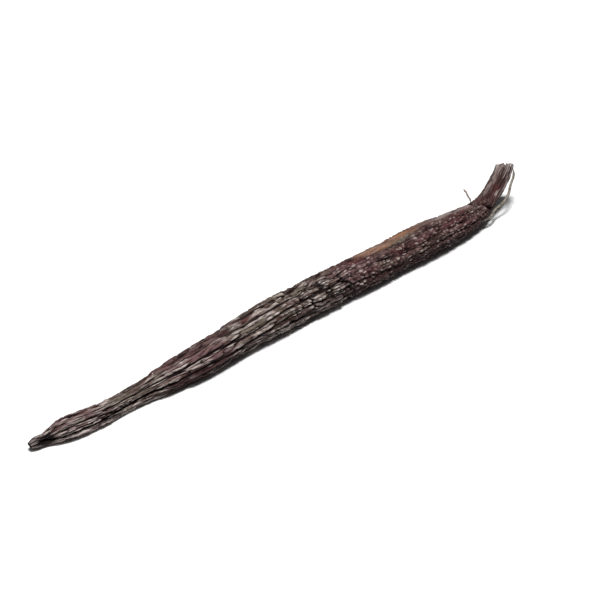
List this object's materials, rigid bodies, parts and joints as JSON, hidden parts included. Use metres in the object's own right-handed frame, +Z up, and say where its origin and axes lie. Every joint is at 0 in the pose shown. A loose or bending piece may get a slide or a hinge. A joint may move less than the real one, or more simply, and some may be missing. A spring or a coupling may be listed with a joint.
{
  "type": "vanilla pod",
  "caption": "Whole cured vanilla pod: long, slim, flattened body with dark wrinkled skin, a blunt nose and a stem end that curls up.",
  "frame": {"origin": "on the ground under the middle of the pod's box", "axes": "+X along the pod from its blunt nose to its stem, +Z up, +Y to the side that the stem leans to"},
  "size_m": [0.165, 0.0128, 0.0107],
  "materials": {
    "pod_skin": "dark brown wrinkled skin with an oily satin sheen"
  },
  "bodies": {
    "root": {"vanilla_pod": "pod_skin"}
  },
  "joints": []
}
